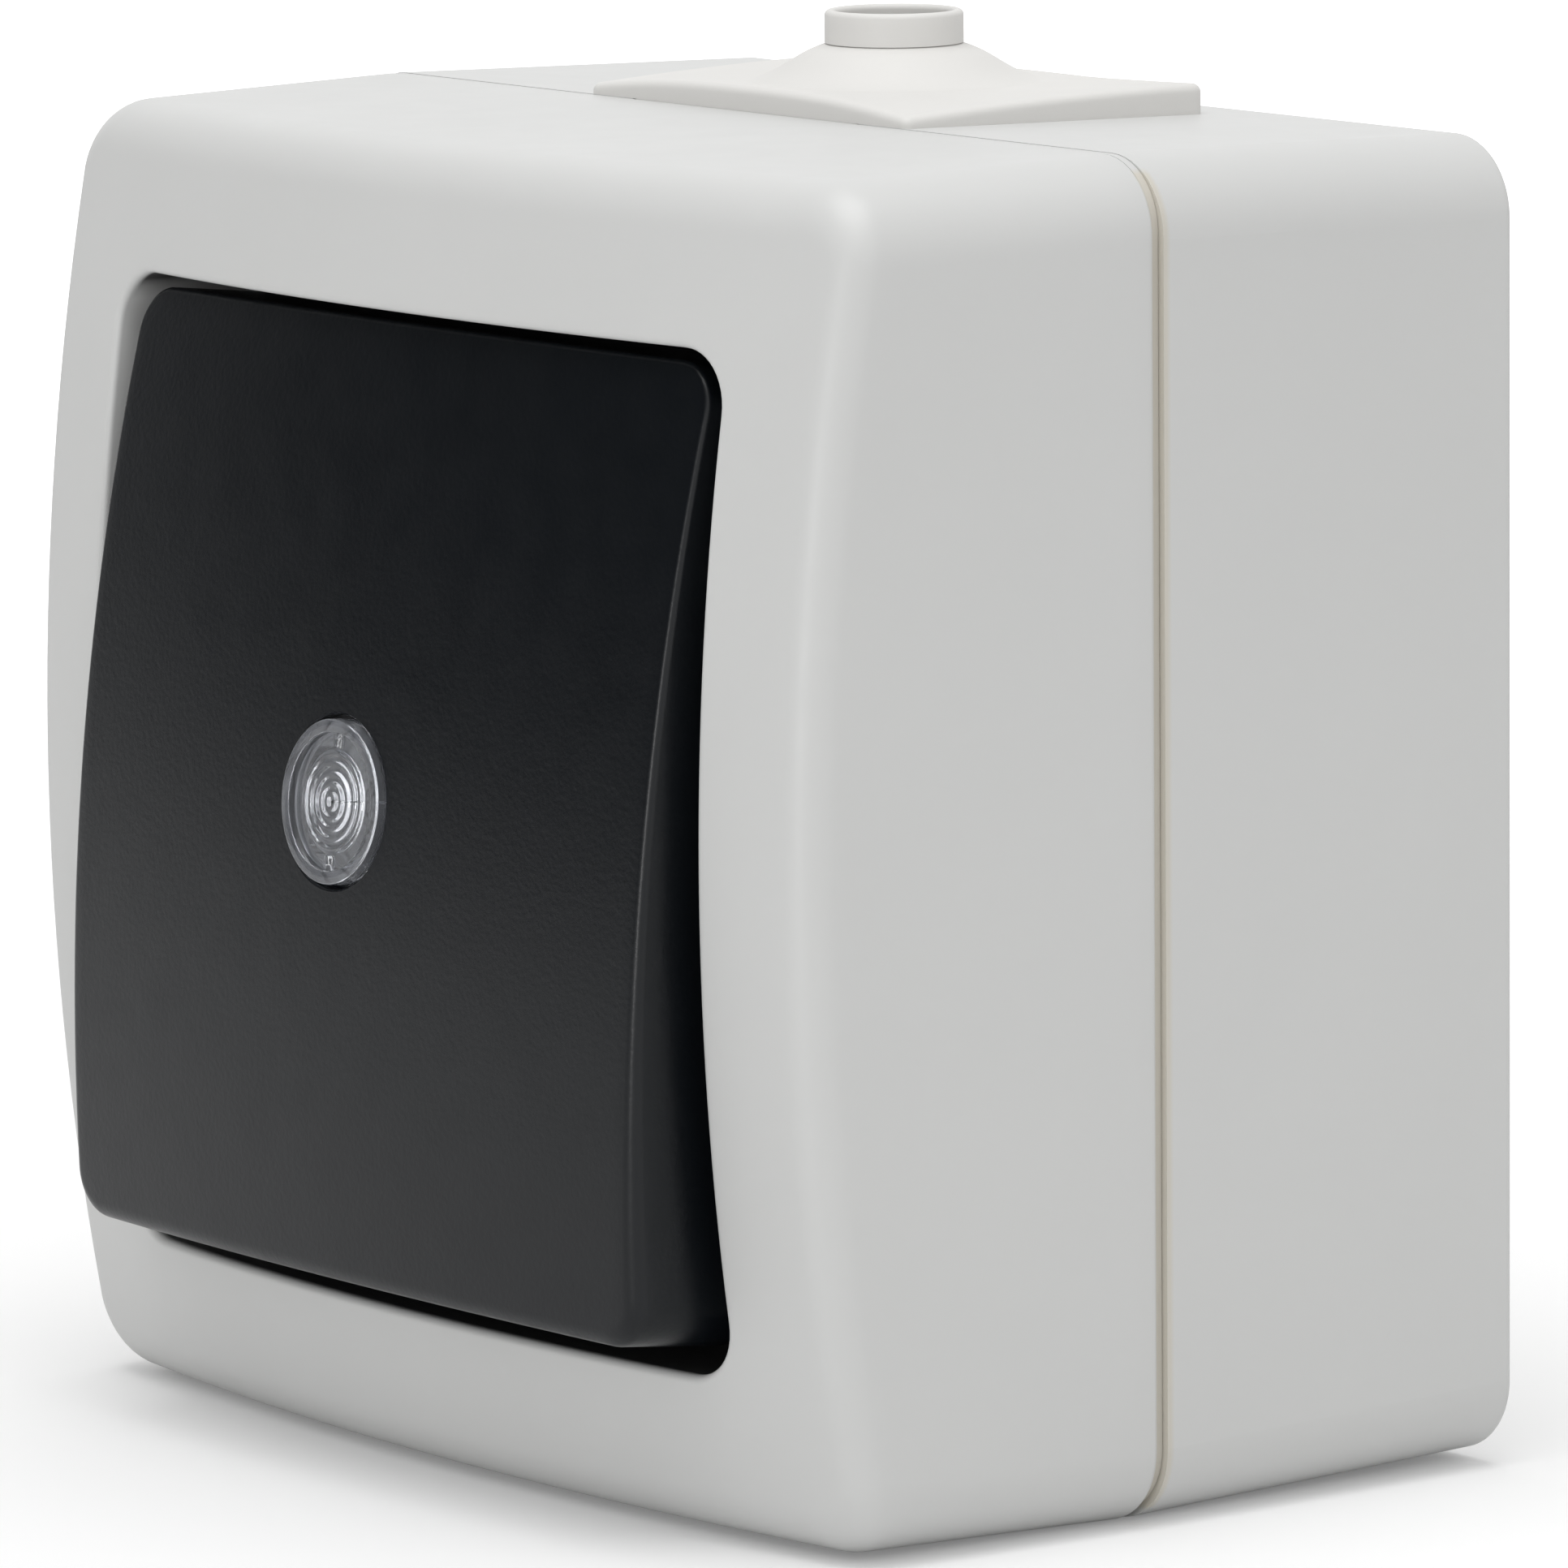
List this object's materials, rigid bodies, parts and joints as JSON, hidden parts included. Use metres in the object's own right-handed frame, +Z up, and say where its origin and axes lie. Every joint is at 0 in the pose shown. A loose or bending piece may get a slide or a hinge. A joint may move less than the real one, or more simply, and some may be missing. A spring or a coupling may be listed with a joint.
{
  "type": "surface-mounted light switch",
  "caption": "Square on-wall rocker light switch with a two-part housing, a cable gland on top and a clear indicator lens in the middle of its rocker.",
  "frame": {"origin": "centre of the flat back that lies on the wall, at half the housing's height", "axes": "+Z up, +Y into the wall, -Y towards the viewer, +X to the right as seen from the front"},
  "size_m": [0.075, 0.0551, 0.0802],
  "materials": {
    "housing_plastic": "light grey satin plastic",
    "seal_rubber": "black rubber",
    "gland_rubber": "light grey soft rubber",
    "rocker_plastic": "anthracite satin plastic",
    "clear_lens": "clear plastic with fine rings",
    "carrier_plastic": "white moulded plastic",
    "block_plastic": "grey moulded plastic",
    "key_plastic": "orange moulded plastic",
    "contact_brass": "bare contact brass",
    "spring_steel": "bright steel",
    "screw_steel": "zinc-plated steel",
    "lamp_glass": "clear glass"
  },
  "bodies": {
    "housing": {"back_box": "housing_plastic", "front_cover": "housing_plastic", "housing_seal": "seal_rubber", "cable_gland": "gland_rubber", "cover_screws": "screw_steel", "mechanism_screws": "screw_steel", "switch_base": "block_plastic", "switch_frame": "block_plastic", "frame_gasket": "seal_rubber", "lamp_holder": "carrier_plastic", "glow_lamp": "lamp_glass", "lamp_leads": "spring_steel", "common_contact": "contact_brass", "upper_fixed_contact": "contact_brass", "lower_fixed_contact": "contact_brass", "neutral_contact": "contact_brass", "upper_clamp_springs": "spring_steel", "lower_clamp_springs": "spring_steel"},
    "rocker": {"rocker": "rocker_plastic", "indicator_lens": "clear_lens", "rocker_carrier": "carrier_plastic", "plunger_spring": "spring_steel"},
    "plunger": {"contact_plunger": "carrier_plastic"},
    "contact_lever": {"moving_contact": "contact_brass"},
    "upper_key": {"upper_release_key": "key_plastic"},
    "lower_key": {"lower_release_key": "key_plastic"}
  },
  "joints": [
    {"name": "rocker_tilt", "type": "hinge", "parent": "housing", "child": "rocker", "pos_m": [0, -0.04508, 0], "axis": [1, 0, 0], "range_deg": [0, 12.6]},
    {"name": "plunger_slide", "type": "slide", "parent": "rocker", "child": "plunger", "axis": [0, -0.994, 0.1097], "range_m": [0, 0.0008], "stiffness_N_per_m": 500, "springref_m": -0.004, "deforming": ["plunger_spring"]},
    {"name": "contact_rock", "type": "hinge", "parent": "housing", "child": "contact_lever", "pos_m": [-0.01, -0.0263, 0], "axis": [1, 0, 0], "range_deg": [-14, 0]},
    {"name": "upper_key_push", "type": "slide", "parent": "housing", "child": "upper_key", "axis": [0, 1, 0], "range_m": [0, 0.0015], "stiffness_N_per_m": 1500, "springref_m": -0.001, "deforming": ["upper_clamp_springs"]},
    {"name": "lower_key_push", "type": "slide", "parent": "housing", "child": "lower_key", "axis": [0, 1, 0], "range_m": [0, 0.0015], "stiffness_N_per_m": 1500, "springref_m": -0.001, "deforming": ["lower_clamp_springs"]}
  ],
  "couplings": [
    {"joint": "contact_rock", "follows": "rocker_tilt", "ratio": -1.111}
  ]
}
